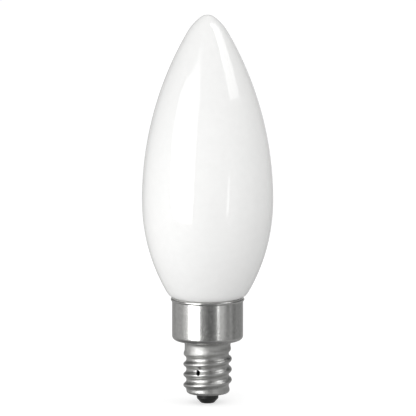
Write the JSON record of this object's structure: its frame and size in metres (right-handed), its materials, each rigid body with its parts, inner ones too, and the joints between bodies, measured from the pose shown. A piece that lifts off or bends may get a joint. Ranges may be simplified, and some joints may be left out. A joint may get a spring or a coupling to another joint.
{
  "type": "candle bulb",
  "caption": "Sealed milky-white candle-shaped lamp bulb on a metal skirted screw cap with a rolled thread and a centre contact.",
  "frame": {"origin": "middle of the centre contact's flat end, on the bulb's axis, the lowest point of the part", "axes": "+Z along the bulb's axis from the centre contact to the glass tip; +X to the right as seen from the front (from -Y)"},
  "size_m": [0.0314, 0.0314, 0.0938],
  "materials": {
    "opal_glass": null,
    "plated_sheet": null,
    "black_glass": null,
    "basing_cement": null,
    "contact_brass": null
  },
  "bodies": {
    "root": {"glass_bulb": "opal_glass", "basing_cement": "basing_cement", "cap_shell": "plated_sheet", "insulator": "black_glass", "centre_contact": "contact_brass"}
  },
  "joints": []
}
